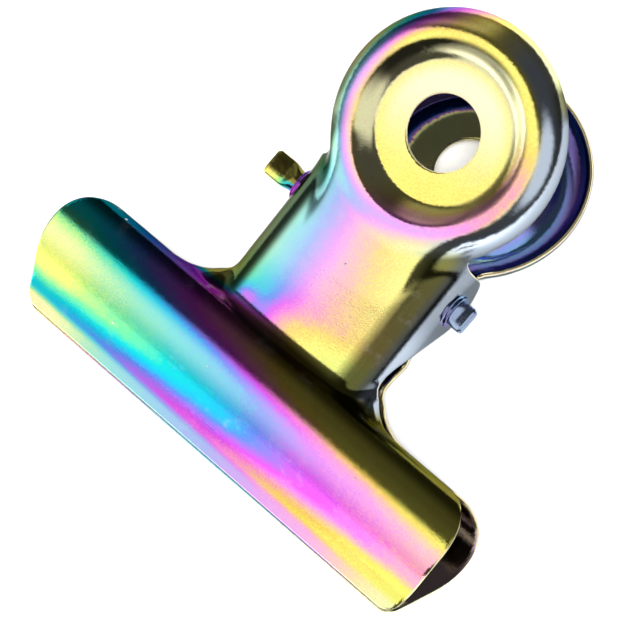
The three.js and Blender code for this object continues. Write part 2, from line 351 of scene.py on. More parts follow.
def kept(p, edge, lip_y):
    """How far a point of the outer face is inside its outline, below 0 where it is cut away."""
    x, y, z = p.T
    ax = np.abs(x)
    along, _ = head_axes(y, z)
    body = np.minimum(edge.measure(y, z), np.hypot(x, along) - HOLE_RADIUS)
    body = np.minimum(body, np.where(ax > SIDES_FROM_X, np.hypot(y, z) - PIN_HOLE, NO_CUT))

    rise = (SHOULDER_HEIGHT - FLANGE_FOOT_Z) * step(10.6, 15.6, ax)
    shoulder = z - FLANGE_FOOT_Z - rise
    margin = SHOULDER_MARGIN + UNDER_SHOULDER_Y - y
    shoulder = np.where(y < UNDER_SHOULDER_Y, margin, shoulder)

    up_side = np.clip((y - LIP_Y) / (BARREL_WIDEST_Y - LIP_Y), 0, 1)
    bulge = 1 - (1 - up_side) ** BULGE_POWER
    half = LIP_HALF_WIDTH + (BARREL_HALF_WIDTH - LIP_HALF_WIDTH) * bulge
    side = half - ax

    # The shoulder's outer corner is a superellipse.
    corner_x = BARREL_HALF_WIDTH - SHOULDER_CORNER
    across = np.maximum(ax - corner_x, 0) / SHOULDER_CORNER
    down = np.maximum(y - BARREL_WIDEST_Y, 0) / (SHOULDER_Y - BARREL_WIDEST_Y)
    reach = (across ** CORNER_POWER + down ** CORNER_POWER + 1e-9) ** (1 / CORNER_POWER)
    at_corner = (ax > corner_x) & (y > BARREL_WIDEST_Y)
    side = np.where(at_corner, np.minimum(side, CORNER_REACH * (1 - reach)), side)
    shoulder = np.where(at_corner, NO_CUT, shoulder)

    lip = (y - lip_y) * LIP_STRETCH
    at_corner = (ax > LIP_HALF_WIDTH - LIP_ROUND) & (lip < LIP_ROUND) & (ax > half - LIP_ROUND)
    corner = LIP_ROUND - np.hypot(ax - (half - LIP_ROUND), lip - LIP_ROUND)
    lip = np.where(at_corner, corner, lip)
    jaw = np.minimum(np.minimum(shoulder, side), lip)
    return np.where(y < FLANGE_END_Y, jaw, body)


# ---- meshing ----
SLOPE_REACH, LEAST_SLOPE = 2e-3, 0.05


def slope(field, p):
    out = np.empty_like(p)
    for i in range(3):
        shift = np.zeros(3)
        shift[i] = SLOPE_REACH
        out[:, i] = (field(p + shift) - field(p - shift)) / (2 * SLOPE_REACH)
    return out


def onto(field, p, rounds=1):
    """Moves points to the zero of field by Newton's method."""
    for _ in range(rounds):
        g = slope(field, p)
        p = p - (field(p) / np.maximum((g * g).sum(1), LEAST_SLOPE))[:, None] * g
    return p


def surface_net(field, low, high, pitch):
    """Quads over the zero of field, one vertex to each grid cell that it crosses."""
    axes = [np.arange(low[i], high[i] + pitch, pitch) for i in range(3)]
    value = np.empty([len(a) for a in axes])
    yy, zz = np.meshgrid(axes[1], axes[2], indexing="ij")
    for i, x in enumerate(axes[0]):
        value[i] = field(np.stack([np.full_like(yy, x), yy, zz], -1))
    inside = value < 0
    corners = [(i, j, k) for i in (0, 1) for j in (0, 1) for k in (0, 1)]
    shape = [len(a) - 1 for a in axes]

    def corner_of(grid, c):
        return grid[c[0]:c[0] + shape[0], c[1]:c[1] + shape[1], c[2]:c[2] + shape[2]]

    count = sum(corner_of(inside, c).astype(np.int8) for c in corners)
    cells = np.argwhere((count > 0) & (count < 8))
    index = np.full(shape, -1)
    index[tuple(cells.T)] = np.arange(len(cells))
    total, hits = np.zeros((len(cells), 3)), np.zeros(len(cells))
    for a in corners:
        for b in corners:
            if sum(b) - sum(a) != 1 or any(b[i] < a[i] for i in range(3)):
                continue
            va = value[tuple((cells + a).T)]
            vb = value[tuple((cells + b).T)]
            cross = (va < 0) != (vb < 0)
            t = np.where(cross, va / np.where(cross, va - vb, 1), 0)[:, None]
            total += np.where(cross[:, None], np.array(a) + t * (np.array(b) - a), 0)
            hits += cross
    points = np.array(low) + (cells + total / hits[:, None]) * pitch
    faces = []
    for axis in range(3):
        u, v = (axis + 1) % 3, (axis + 2) % 3
        cut = [slice(None)] * 3
        cut[axis] = slice(0, -1)
        ahead = [slice(None)] * 3
        ahead[axis] = slice(1, None)
        one, two = inside[tuple(cut)], inside[tuple(ahead)]
        edges = np.argwhere(one != two)
        edges = edges[(edges[:, u] > 0) & (edges[:, v] > 0) & (edges[:, u] < shape[u])
                      & (edges[:, v] < shape[v])]
        quad = []
        for du, dv in ((-1, -1), (0, -1), (0, 0), (-1, 0)):
            cell = edges.copy()
            cell[:, u] += du
            cell[:, v] += dv
            quad.append(index[tuple(cell.T)])
        quad = np.stack(quad, 1)
        flip = ~one[tuple(edges.T)]
        quad[flip] = quad[flip][:, ::-1]
        faces.append(quad)
    return points, np.vstack(faces)


def edge_table(faces):
    return faces.reshape(-1), np.roll(faces, -1, axis=1).reshape(-1)


def boundary_of(faces, count):
    """Directed edges that only one face has."""
    a, b = edge_table(faces)
    lone = ~np.isin(a * count + b, b * count + a)
    return a[lone], b[lone]


def compact(points, faces):
    used = np.unique(faces)
    new = np.full(len(points), -1)
    new[used] = np.arange(len(used))
    return points[used], new[faces]


def largest_piece(points, faces):
    label = np.arange(len(points))
    while True:
        low = label[faces].min(1)
        fresh = label.copy()
        np.minimum.at(fresh, faces.reshape(-1), np.repeat(low, 4))
        fresh = fresh[fresh]
        if (fresh == label).all():
            break
        label = fresh
    keep = np.bincount(label[faces[:, 0]]).argmax()
    return compact(points, faces[label[faces[:, 0]] == keep])


def neighbour_mean(points, ends, count):
    total = [np.bincount(ends[0], points[ends[1], i], len(points)) for i in range(3)]
    return np.stack(total, 1) / np.maximum(count, 1)[:, None]


RELAX_ROUNDS, RELAX_PACE, LONGEST_MOVE = 9, 0.6, 0.4


def relaxed(points, faces, field, cut):
    """Evens out the vertices, keeping them on the face and the rim on the cut."""
    n = len(points)
    a, b = edge_table(faces)
    ends = np.concatenate([a, b]), np.concatenate([b, a])
    rim_a, rim_b = boundary_of(faces, n)
    rim = np.zeros(n, bool)
    rim[rim_a] = True
    rim_ends = np.concatenate([rim_a, rim_b]), np.concatenate([rim_b, rim_a])
    rim_count = np.bincount(rim_ends[0], minlength=n)
    count = np.bincount(ends[0], minlength=n)
    rim_at = np.where(rim)[0]
    for _ in range(RELAX_ROUNDS):
        mean = neighbour_mean(points, ends, count)
        along_rim = neighbour_mean(points, rim_ends, rim_count)
        target = np.where(rim[:, None], along_rim, mean)
        points = onto(field, points + RELAX_PACE * (target - points))
        for _ in range(2):
            edge = points[rim_at]
            g = slope(cut, edge)
            normal = unit(slope(field, edge))
            g -= (g * normal).sum(1)[:, None] * normal
            size = np.maximum((g * g).sum(1), 0.1)
            move = -(cut(edge) / size)[:, None] * g
            length = np.linalg.norm(move, axis=1)[:, None]
            edge = edge + move * np.minimum(1, LONGEST_MOVE / np.maximum(length, 1e-9))
            points[rim_at] = onto(field, edge)
    return onto(field, points, 2)


NET_LOW, NET_HIGH = (-27.5, -28.3, -4.2), (27.5, 27.0, 13.6)


def outer_face(field, cut):
    """The kept part of the outer face, with its rim on the cut."""
    points, faces = surface_net(field, NET_LOW, NET_HIGH, MESH_PITCH)
    points = onto(field, points, 2)
    inside = cut(points) > -0.05 * MESH_PITCH
    faces = faces[inside[faces].sum(1) >= 3]
    points, faces = largest_piece(*compact(points, faces))
    # Drop faces that hang on by one edge.
    for _ in range(3):
        a, b = boundary_of(faces, len(points))
        edges = faces * len(points) + np.roll(faces, -1, 1)
        free = np.isin(edges, a * len(points) + b).sum(1)
        faces = faces[free < 3]
    points, faces = largest_piece(*compact(points, faces))
    return relaxed(points, faces, field, cut), faces


# Rows of vertices across the cut edge: depth in the sheet and share of the edge's bulge.
EDGE_ROWS, EDGE_BULGE = ((0.15, 0.75), (0.5, 1.0), (0.85, 0.75)), 0.12
RIM_TURN = 0.35
OUTER, CUT_EDGE, INNER = 0.0, 0.5, 1.0


def pressed_plate(pin_width, ear_radius, lip_y):
    """Outer face, even sheet thickness behind it, and a rounded cut edge."""
    edge = Edge(flange_edge(ear_radius))

    def field(p):
        return plate_gap(p, pin_width)

    def cut(p):
        return kept(p, edge, lip_y)

    points, faces = outer_face(field, cut)
    normal = unit(slope(field, points))
    n = len(points)
    rim_a, rim_b = boundary_of(faces, n)
    out = np.zeros((n, 3))
    along = points[rim_b] - points[rim_a]
    for end in (rim_a, rim_b):
        np.add.at(out, end, np.cross(along, normal[end]))
    rim = np.unique(rim_a)
    out = unit(out[rim])
    place = np.full(n, -1)
    place[rim] = np.arange(len(rim))

    layers, turns = [points, points - SHEET * normal], [normal.copy(), -normal]
    groups = [faces, faces[:, ::-1] + n]
    for turn in turns:
        turn[rim] += RIM_TURN * out
    last_a, last_b = rim_a, rim_b
    base = 2 * n
    for depth, proud in EDGE_ROWS:
        lean = math.cos(depth * math.pi)
        layers.append(points[rim] - SHEET * depth * normal[rim] + EDGE_BULGE * proud * out)
        turns.append(lean * normal[rim] + (1.02 - abs(lean)) * out)
        next_a, next_b = base + place[rim_a], base + place[rim_b]
        groups.append(np.stack([last_b, last_a, next_a, next_b], 1))
        last_a, last_b = next_a, next_b
        base += len(rim)
    groups.append(np.stack([last_b, last_a, rim_a + n, rim_b + n], 1))
    layer = np.repeat([OUTER, INNER, CUT_EDGE], [n, n, len(EDGE_ROWS) * len(rim)])
    return np.vstack(layers), np.vstack(groups), np.vstack(turns), layer


def linked(name, data):
    obj = bpy.data.objects.new(name, data)
    bpy.context.scene.collection.objects.link(obj)
    return obj


def add_values(mesh, values):
    for key, value in values.items():
        mesh.attributes.new(key, "FLOAT", "POINT").data.foreach_set(
            "value", np.asarray(value, np.float32))


def mesh_object(name, points, faces, normals=None, **values):
    mesh = bpy.data.meshes.new(name)
    size = faces.shape[1]
    mesh.vertices.add(len(points))
    mesh.vertices.foreach_set("co", np.asarray(points, np.float32).reshape(-1))
    mesh.loops.add(faces.size)
    mesh.loops.foreach_set("vertex_index", faces.astype(np.int32).reshape(-1))
    mesh.polygons.add(len(faces))
    mesh.polygons.foreach_set("loop_start", np.arange(0, faces.size, size, dtype=np.int32))
    mesh.polygons.foreach_set("use_smooth", np.ones(len(faces), bool))
    mesh.update(calc_edges=True)
    mesh.validate()
    add_values(mesh, values)
    if normals is not None:
        mesh.normals_split_custom_set_from_vertices(unit(normals).tolist())
    return linked(name, mesh)


# ---- the interference film with painted highlight and painted shade: four numbers per vertex, which the material turns into colour ----
# Phase of the film by x on each part of the plate. FILM, below, has the colour of each phase.
JAW_FILM = (
    (-24, 0.03), (-16, 0.165), (-8, 0.30), (0, 0.40), (8, 0.58), (16, 0.70), (24, 0.79))
JAW_TOP_FILM = ((-24, 0.3), (-8, 0.4), (0, 0.48))
NECK_FILM = (
    (-10.5, 0.02), (-8, 0.2), (-6.5, 0.33), (-3.5, 0.55), (-0.5, 0.78), (2.5, 0.88), (6, 0.96),
    (10, 1.0))
LIP_EDGE_FILM = ((-24, -0.04), (-8, 0.12), (4, 0.35), (14, 0.6), (24, 0.95))
# Painted shade by x at the right side of the neck: a dark band where it reflects little light.
NECK_RIGHT_SHADE = ((5.9, 0.0), (6.7, 0.72), (7.3, 1.15), (9.1, 1.15), (9.7, 0.6))
JAW_LAST_PHASE, NECK_LAST_PHASE, HEAD_PHASE, CUT_EDGE_PHASE = 0.985, 1.02, 0.965, 0.94
# The most painted shade that a vertex carries.
MOST_SHADE = 1.17
INSIDE_JAW_Y, INSIDE_DISC = -10, 7.4


class Spots:
    """Where the vertices of a plate lie, and how far, from 0 to 1, each is on some part."""

    def __init__(self, p):
        self.x, self.y, z = p.T
        self.along, _ = head_axes(self.y, z)
        self.r = np.hypot(self.x, self.along)
        self.around = np.arctan2(self.along, self.x)
        self.s = BARREL.measure(self.y, z)[1]
        self.on_jaw = step(-12.6, -13.7, self.y)
        self.on_head = step(13.2, 11.6, self.r)
        self.lip_strip = step(1.8, 0.7, self.s)
        self.left = self.facing(0.35, 0.15, -0.9)
        self.near_left = self.facing(-math.radians(118), -0.25, 0.55)
        self.near_right = self.facing(-0.7, 0.2, 0.8)
        self.crest = step(8.9, 9.9, self.r)

    def facing(self, angle, low, high):
        """The side of the head round an angle, which is 0 at +X and grows towards the far end."""
        return step(low, high, np.cos(self.around - angle))

    def joined(self, neck, head, jaw):
        return blended(blended(neck, head, self.on_head), jaw, self.on_jaw)


def outer_phase(at):
    x, y, r, s = at.x, at.y, at.r, at.s
    jaw = by_stops(JAW_FILM, x)
    upward = by_stops(JAW_TOP_FILM, x) * step(8.4, 13.2, s)
    jaw = jaw + 0.33 * step(5.2, 1.2, s) + upward
    jaw = soft_min(jaw, np.full_like(jaw, JAW_LAST_PHASE), 0.1)
    jaw = jaw - at.lip_strip * (0.24 * step(25.0, 13.0, x) + 0.16 * step(-13.0, -23.0, x))

    # The neck's last term is a spot of colour at the left end of the crease.
    neck = by_stops(NECK_FILM, x)
    neck = neck + 0.007 * (y + 3)
    neck = neck + 0.17 * step(-8.5, -12.5, y) * step(-5.0, -2.2, x)
    neck = soft_min(neck, np.full_like(neck, NECK_LAST_PHASE), 0.06)
    neck = neck + 0.33 * np.exp(-((x + 6.4) / 1.9) ** 2 - ((y + 12.4) / 1.1) ** 2)

    down_flank = np.clip(r - RIDGE_CREST, 0, 2.8)
    head = HEAD_PHASE - at.left * (0.33 * down_flank + 0.03 * down_flank ** 2)
    head = head - 0.17 * at.near_left * at.crest
    head = head - 0.15 * at.near_right * step(7.6, 8.8, r) * step(11.2, 10.0, r)
    into_neck = step(1.0, -5.0, at.along) * step(10.2, 12.2, r)
    head = blended(head, neck + 0.02, into_neck)
    return at.joined(neck, head, jaw)


# Painted highlight: the colour is whitened where the lights reflect brightest, along a strip of the
# barrel, on the lip, over the neck, on the disc and on the near crest.
def outer_painted_highlight(at):
    x, y, r, s = at.x, at.y, at.r, at.s
    jaw = 0.22 * step(6.2, 8.8, s) * step(10.6, 9.2, s) + 0.34 * at.lip_strip
    neck = 0.07 + 0.2 * step(3.0, -2.0, x)
    neck = 0.08 + neck * step(-11.0, -6.0, y) * step(5.0, 0.0, y)
    disc = 0.5 * step(8.0, 5.5, r) * step(-6.0, 5.0, at.along - 0.3 * x)
    head = 0.05 + disc + 0.3 * at.near_left * at.crest
    return at.joined(neck, head, jaw)


def outer_bareness(at):
    r = at.r
    flank = step(10.3, 11.0, r) * at.facing(0.25, 0.1, 0.6)
    ring_inside = 0.45 * (1 - 0.8 * at.near_right) * step(7.0, 7.6, r) * step(9.4, 8.9, r)
    return at.joined(step(8.2, 9.6, at.x), np.maximum(flank, ring_inside), 0.0)


def outer_painted_shade(at):
    """Painted shade: the colour is made darker on steep walls, at the bottoms of the folds and in
    bands where little light is reflected.
    """
    x, y, r, s = at.x, at.y, at.r, at.s
    far_wall = step(7.9, 8.6, r) * step(9.6, 9.2, r) * at.facing(math.radians(125), 0.3, 0.8)
    near_wall = 0.55 * step(7.1, 7.5, r) * step(9.3, 8.7, r) * at.facing(-0.6, 0.2, 0.8)
    left_flank = at.facing(0.35, 0.35, -0.3) * step(10.7, 11.6, r)
    left_flank = left_flank * step(-0.75, -0.2, np.sin(at.around))
    right_flank = 0.5 * step(11.6, 12.4, r) * at.facing(0.25, 0.0, 0.5)
    head = np.maximum.reduce([far_wall, near_wall, 1.1 * left_flank, right_flank])

    neck_right = by_stops(NECK_RIGHT_SHADE, x)
    neck_right = neck_right + 0.3 * step(-7.0, -2.0, y) * step(6.8, 7.4, x)
    neck = np.maximum(1.15 * step(-6.9, -8.4, x), neck_right)

    jaw = 0.42 * step(6.7, 6.2, s) * step(2.6, 3.3, s)
    jaw = jaw + 0.4 * step(-17.6, -16.4, y) + 0.75 * step(-16.4, -15.0, y)

    fold = 0.9 * np.exp(-((x + 6.9 + 0.4 * y) / 0.95) ** 2 - ((y - 1.8) / 2.4) ** 2)
    fold = fold + np.exp(-((x + 9.8) / 1.0) ** 2 - ((y - 5.0) / 3.0) ** 2)
    return np.clip(at.joined(neck, head, jaw) + 1.1 * fold, 0, MOST_SHADE)


def film_look(p, layer):
    """Phase of the film, paleness as painted highlight, bare steel, and depth as painted shade, at
    each vertex.
    """
    at = Spots(p)
    x, y, r = at.x, at.y, at.r

    def inside(jaw, disc, rest):
        return np.where(y < INSIDE_JAW_Y, jaw, np.where(r < INSIDE_DISC, disc, rest))

    def by_layer(outer, edge, inner):
        return np.where(layer == OUTER, outer, np.where(layer == CUT_EDGE, edge, inner))

    # Inside: near black and navy, darkened by painted shade, with a brighter violet-blue patch on
    # the ring's hollow side, a painted reflection of the light.
    reflection_patch = at.facing(math.radians(203), 0.0, 0.7) * step(7.2, 8.2, r)
    reflection_patch = reflection_patch * step(11.4, 10.2, r) * at.on_head
    navy = 0.5 + 0.05 * np.sin(r * 1.9 + 0.12 * x)
    edge_phase = np.where(y < -20, by_stops(LIP_EDGE_FILM, x), CUT_EDGE_PHASE)
    # Paleness whitens as painted highlight on the outer face, the cut edge and the inside patch;
    # depth darkens as painted shade on the outer face and the insides.
    return {
        "film": by_layer(outer_phase(at), edge_phase, inside(0.93 + 0.004 * x, 1.0, navy)),
        "pale": by_layer(outer_painted_highlight(at), 0.3, 0.06 + 0.12 * reflection_patch),
        "bare": by_layer(outer_bareness(at), 0.2, inside(0.5, 0.3, 0.12 - 0.12 * reflection_patch)),
        "deep": by_layer(outer_painted_shade(at), 0.0, inside(0.6, 0.35, 0.8 - 0.8 * reflection_patch)),
    }


# ---- materials ----
def linear(colour):
    channels = (c / 12.92 if c <= 0.04045 else ((c + 0.055) / 1.055) ** 2.4 for c in colour)
    return (*channels, 1.0)


# Colour of the film by its phase, which repeats after 1.
FILM = (
    (0.00, (0.97, 0.95, 0.45)),
    (0.09, (0.76, 0.92, 0.48)),
    (0.19, (0.42, 0.85, 0.60)),
    (0.30, (0.08, 0.80, 0.78)),
    (0.40, (0.14, 0.70, 0.86)),
    (0.48, (0.34, 0.52, 0.89)),
    (0.56, (0.62, 0.44, 0.90)),
    (0.65, (0.84, 0.32, 0.89)),
    (0.74, (0.95, 0.50, 0.82)),
    (0.82, (0.95, 0.66, 0.64)),
    (0.91, (0.96, 0.82, 0.36)),
    (1.00, (0.97, 0.95, 0.45)),
)
# White for painted highlight, the steel's own tint, and grey for painted shade.
HIGHLIGHT_WHITE, STEEL, SHADE_GREY = (0.97, 0.96, 0.97), (0.74, 0.79, 0.85), (0.38, 0.38, 0.38)
SMEAR, DUST = (0.86, 0.86, 0.88), (0.93, 0.93, 0.90)
WIRE = ((0.25, (0.40, 0.41, 0.44)), (0.75, (0.66, 0.67, 0.70)))
PAPER = ((0.2, (0.955, 0.955, 0.955)), (0.8, (0.97, 0.97, 0.97)))
EDGE_TINT = (0.4, 0.4, 0.4, 1.0)


class Nodes:
    """Short calls that build a node tree. Inputs go by name or by number, as i0, and settings of
    a node by a name that starts with _."""

    def __init__(self, tree):
        self.tree = tree
        self.tree.nodes.clear()

    def add(self, kind, **inputs):
        settings = {k: v for k, v in inputs.items() if k.startswith("_")}
        node = self.tree.nodes.new(kind)
        for key, value in settings.items():
            setattr(node, key[1:], value)
        for key, value in inputs.items():
            if key in settings:
                continue
            socket = node.inputs[int(key[1:]) if key[1:].isdigit() else key.replace("__", " ")]
            if isinstance(value, bpy.types.NodeSocket):
                self.tree.links.new(value, socket)
            else:
                socket.default_value = value
        return node

    def place(self):
        return self.add("ShaderNodeTexCoord").outputs["Object"]

    def attribute(self, name):
        return self.add("ShaderNodeAttribute", _attribute_name=name).outputs["Fac"]

    def noise(self, at, scale, detail, **more):
        return self.add(
            "ShaderNodeTexNoise", Vector=at, Scale=scale, Detail=detail, **more).outputs["Fac"]

    def math(self, operation, *values):
        inputs = {f"i{i}": value for i, value in enumerate(values)}
        return self.add("ShaderNodeMath", _operation=operation, **inputs).outputs[0]

    def spread(self, value, reach):
        """A number from 0 to 1, turned into one from -reach to reach."""
        return self.math("MULTIPLY_ADD", value, 2 * reach, -reach)

    def remap(self, value, a, b, c=0.0, d=1.0):
        return self.add(
            "ShaderNodeMapRange", _interpolation_type="SMOOTHSTEP",
            i0=value, i1=a, i2=b, i3=c, i4=d).outputs[0]

    def dot(self, a, b):
        return self.add(
            "ShaderNodeVectorMath", _operation="DOT_PRODUCT", i0=a, i1=b).outputs["Value"]

    def mix(self, factor, a, b, blend="MIX"):
        return self.add(
            "ShaderNodeMix", _data_type="RGBA", _blend_type=blend, i0=factor, i6=a, i7=b).outputs[2]

    def ramp(self, factor, stops):
        node = self.add("ShaderNodeValToRGB", Fac=factor)
        elements = node.color_ramp.elements
        while len(elements) < len(stops):
            elements.new(0.5)
        for element, (at, _) in zip(elements, stops):
            element.position = at
        for element, (_, colour) in zip(elements, stops):
            element.color = linear(colour)
        return node.outputs[0]

    def bump(self, strength, distance, height):
        return self.add(
            "ShaderNodeBump", Strength=strength, Distance=distance, Height=height).outputs[0]


def new_material(name):
    material = bpy.data.materials.new(name)
    material.use_nodes = True
    return material, Nodes(material.node_tree)


# Scales of the textures, in features per metre.
CLOUD_SCALE, SMEAR_SCALE, SPECK_SCALE, RIPPLE_SCALE = 170.0, 420.0, 520.0, 900.0
MOTTLE_SCALE, SHIMMER_SCALE, GRIT_SCALE = 1300.0, 5600.0, 9000.0
STAIN_SCALE, LINES_SCALE, TOOTH_SCALE = 600.0, 5200.0, 900.0


def film_metal(name, grain=1.0, dust=1.0):
    """Polished plated steel under an interference film, with grain, smears and a little dust,
    whitened by painted highlight and darkened by painted shade where the vertices carry them.
    """
    material, nodes = new_material(name)
    at = nodes.place()
    drift = nodes.spread(nodes.noise(at, CLOUD_SCALE, 3.0), 0.05)
    shimmer = nodes.spread(nodes.noise(at, SHIMMER_SCALE, 3.0), 0.08)
    mottle = nodes.spread(nodes.noise(at, MOTTLE_SCALE, 3.0), 0.025)
    phase = nodes.math("ADD", nodes.attribute("film"), drift)
    phase = nodes.math("ADD", phase, nodes.math("ADD", shimmer, mottle))
    colour = nodes.ramp(nodes.math("FRACT", nodes.math("ADD", phase, 1.0)), FILM)
    # pale mixes towards white as painted highlight; bare mixes towards the steel's own tint.
    for attribute, tint in (("pale", HIGHLIGHT_WHITE), ("bare", STEEL)):
        colour = nodes.mix(nodes.attribute(attribute), colour, linear(tint))
    # Painted shade: the deep attribute darkens the colour towards the grey.
    depth = nodes.math("MULTIPLY", nodes.attribute("deep"), 0.85)
    colour = nodes.mix(depth, colour, linear(SHADE_GREY), "MULTIPLY")

    smear = nodes.noise(at, SMEAR_SCALE, 5.0, Roughness=0.65)
    colour = nodes.mix(nodes.remap(smear, 0.55, 0.8, 0.0, 0.16), colour, linear(SMEAR))
    cells = nodes.add("ShaderNodeTexVoronoi", Vector=at, Scale=SPECK_SCALE, Randomness=1.0)
    speck = nodes.remap(cells.outputs["Distance"], 0.10, 0.05)
    chance = nodes.add("ShaderNodeSeparateColor", Color=cells.outputs["Color"]).outputs[0]
    speck = nodes.math("MULTIPLY", speck, nodes.remap(chance, 0.955, 0.96))
    speck = nodes.math("MULTIPLY", speck, 0.8 * dust)
    colour = nodes.mix(speck, colour, linear(DUST))
    rough = nodes.remap(smear, 0.3, 0.8, 0.07, 0.14)
    rough = nodes.math("ADD", rough, nodes.math("MULTIPLY", speck, 0.4))

    grit = nodes.math("MULTIPLY", nodes.noise(at, GRIT_SCALE, 1.0), 0.6)
    ripple = nodes.math("MULTIPLY", nodes.noise(at, RIPPLE_SCALE, 2.0), 0.16)
    height = nodes.math("ADD", grit, ripple)
    height = nodes.math("ADD", height, nodes.math("MULTIPLY", speck, 3.0))
    shader = nodes.add(
        "ShaderNodeBsdfPrincipled", Base__Color=colour, Metallic=1.0, Roughness=rough,
        Specular__Tint=EDGE_TINT, Normal=nodes.bump(0.5 * grain, 0.00003, height))
    nodes.add("ShaderNodeOutputMaterial", Surface=shader.outputs[0])
    return material


# ---- the two plates ----
def place_plate(name, node, body, shape, turned, material):
    points, faces, normal, layer = pressed_plate(*shape)
    look = film_look(points, layer)
    if turned:
        flip = np.array([-1, 1, -1])
        points, normal = points * flip, normal * flip
    plate = mesh_object(name, to_row(points), faces, normal @ ROW_TURN.T, **look)
    plate.data.materials.append(material)
    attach(plate, body)
    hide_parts(node)


front_metal = film_metal("film_steel_front")
back_metal = film_metal("film_steel_back")
front_shape = FRONT_WIDTH, OUTER_EAR, FRONT_LIP_Y
back_shape = BACK_WIDTH, INNER_EAR, BACK_LIP_Y
place_plate("front_plate_sheet", "front_plate", "front", front_shape, False, front_metal)
place_plate("back_plate_sheet", "back_plate", "back", back_shape, True, back_metal)


# ---- turned and swept shapes ----
RING_POINTS = 72


def full_turn(size):
    return np.linspace(0, 2 * math.pi, size, endpoint=False)


def lofted(name, rings, **values):
    """A closed skin over rings of points, with one flat face at each end."""
    rings = np.array(rings, float)
    count, size = rings.shape[:2]
    i, j = np.meshgrid(np.arange(count - 1), np.arange(size), indexing="ij")
    a = i * size + j
    b = i * size + (j + 1) % size
    faces = np.stack([a, b, b + size, a + size], -1).reshape(-1, 4).tolist()
    for start, order in ((0, -1), ((count - 1) * size, 1)):
        faces.append([start + k for k in range(size)][::order])
    mesh = bpy.data.meshes.new(name)
    mesh.from_pydata(to_row(rings.reshape(-1, 3)).tolist(), [], faces)
    mesh.validate()
    add_values(mesh, values)
    return linked(name, mesh)


def smooth_by_angle(obj, degrees):
    mesh = obj.data
    mesh.polygons.foreach_set("use_smooth", np.ones(len(mesh.polygons), bool))
    mesh.set_sharp_from_angle(angle=math.radians(degrees))


# ---- hinge pin, pinched flat at both ends ----
# Distances from the pin's end where its pinch starts and where it is full.
LEFT_PINCH, RIGHT_PINCH = (3.5, 2.2), (2.3, 0.7)
PINCH_WIDER, PINCH_FLATTER, PINCH_SQUARER = 0.2, 0.44, 2.6
TIP_ROUND, TIP_LENGTH = 0.16, 0.28
PIN_FILM = ((-14.0, 0.98), (-12.8, 1.12), (-11.6, 1.38), (-10.4, 1.68))
PIN_PHASE = 0.98


def pin_section(x):
    """Half height, half depth and squareness of the pin at x from its middle."""
    end = PIN_LENGTH / 2 - abs(x)
    pinch = float(step(*(LEFT_PINCH if x < 0 else RIGHT_PINCH), end))
    tip = TIP_ROUND * float(step(TIP_LENGTH, 0.0, end))
    wide = PIN_RADIUS * (1 + PINCH_WIDER * pinch) - tip
    deep = PIN_RADIUS * (1 - PINCH_FLATTER * pinch) - tip
    return wide, deep, 2 + PINCH_SQUARER * pinch


def hinge_pin():
    turn = full_turn(RING_POINTS)
    c, s = np.cos(turn), np.sin(turn)
    half = PIN_LENGTH / 2
    ends = np.concatenate([[0, 0.03, 0.09, 0.18, 0.3], np.linspace(0.45, 4.0, 24)])
    middle = np.linspace(-half + 4.4, half - 4.4, 20)
    rings = []
    for x in np.concatenate([-half + ends, middle, (half - ends)[::-1]]):
        wide, deep, power = pin_section(x)
        shrink = (np.abs(c) ** power + np.abs(s) ** power) ** (-1 / power)
        across = np.full(RING_POINTS, x + PIN_SHIFT)
        rings.append(np.stack([across, wide * c * shrink, deep * s * shrink], 1))
    at = np.array(rings).reshape(-1, 3)
    # The left end is darkened by painted shade above a rainbow along its lower edge; the right end
    # is blue steel with a little painted shade.
    left = step(0.0, -8.0, at[:, 0])
    edge = step(-0.35, -0.85, at[:, 1])
    rainbow = by_stops(PIN_FILM, at[:, 0])
    film = PIN_PHASE + left * edge * (rainbow - PIN_PHASE) - 0.5 * (1 - left)
    deep = left * (1 - edge) + 0.2 * (1 - left)
    pale = np.full(len(at), 0.05)
    return lofted(
        "hinge_pin_rod", rings, film=film, pale=pale, bare=0.7 * (1 - left), deep=deep)


pin = hinge_pin()
smooth_by_angle(pin, 40)
pin.data.materials.append(film_metal("film_steel_pin", grain=1.6, dust=0.5))
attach(pin, "pin")
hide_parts("hinge_pin")


# ---- drawn collars round the pin holes of the outer ears ----
COLLAR_INNER, COLLAR_OUTER, COLLAR_RISE, COLLAR_ROOT = PIN_HOLE + 0.02, 1.86, 0.42, -0.3
FILLET, FILLET_SINK, OUTER_ROUND, INNER_ROUND = 0.25, 0.02, 0.14, 0.07


def collar_profile():
    """Radius and height, up the fillet, over the rounded top and down the bore."""
    def quarter(count):
        return np.linspace(0, math.pi / 2, count)

    fillet = [
        (COLLAR_OUTER + FILLET * (1 - math.sin(a)), FILLET - FILLET * math.cos(a) - FILLET_SINK)
        for a in quarter(6)]
    outside = [
        (COLLAR_OUTER - OUTER_ROUND + OUTER_ROUND * math.cos(a),
         COLLAR_RISE - OUTER_ROUND + OUTER_ROUND * math.sin(a)) for a in quarter(7)]
    inside = [
        (COLLAR_INNER + INNER_ROUND - INNER_ROUND * math.sin(a),
         COLLAR_RISE - INNER_ROUND + INNER_ROUND * math.cos(a)) for a in quarter(4)]
    foot, root = (COLLAR_OUTER + FILLET, COLLAR_ROOT), (COLLAR_INNER, COLLAR_ROOT)
    return [foot, *fillet, *outside, *inside, root]


